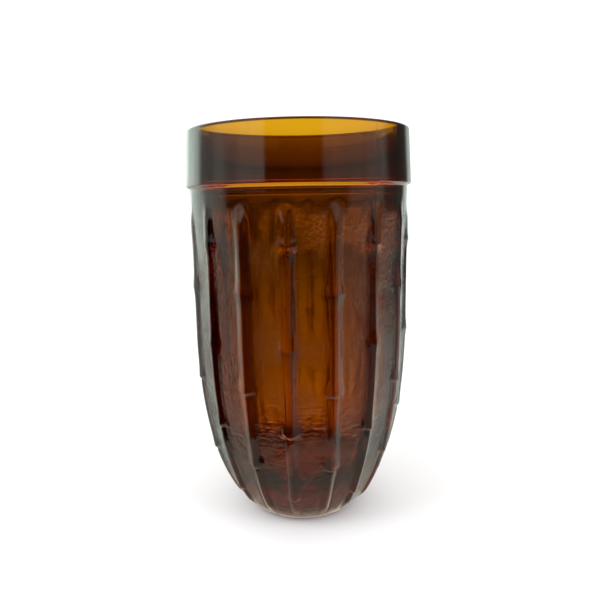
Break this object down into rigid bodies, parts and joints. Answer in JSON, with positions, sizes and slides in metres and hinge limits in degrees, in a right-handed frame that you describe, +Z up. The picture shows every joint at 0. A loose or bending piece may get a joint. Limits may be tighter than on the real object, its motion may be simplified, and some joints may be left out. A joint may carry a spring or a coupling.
{
  "type": "drinking tumbler",
  "caption": "Amber pressed-glass tumbler with a plain stepped rim band, bamboo-stalk ribs and a rounded heel, for holding cold drinks.",
  "frame": {"origin": "centre of the standing ring on the surface the tumbler stands on", "axes": "+Z up along the tumbler's axis, towards the lip; -Y faces the front, through the middle of one rib"},
  "size_m": [0.079, 0.079, 0.137],
  "materials": {
    "amber_glass": "clear amber glass, polished"
  },
  "bodies": {
    "root": {"tumbler": "amber_glass"}
  },
  "joints": []
}
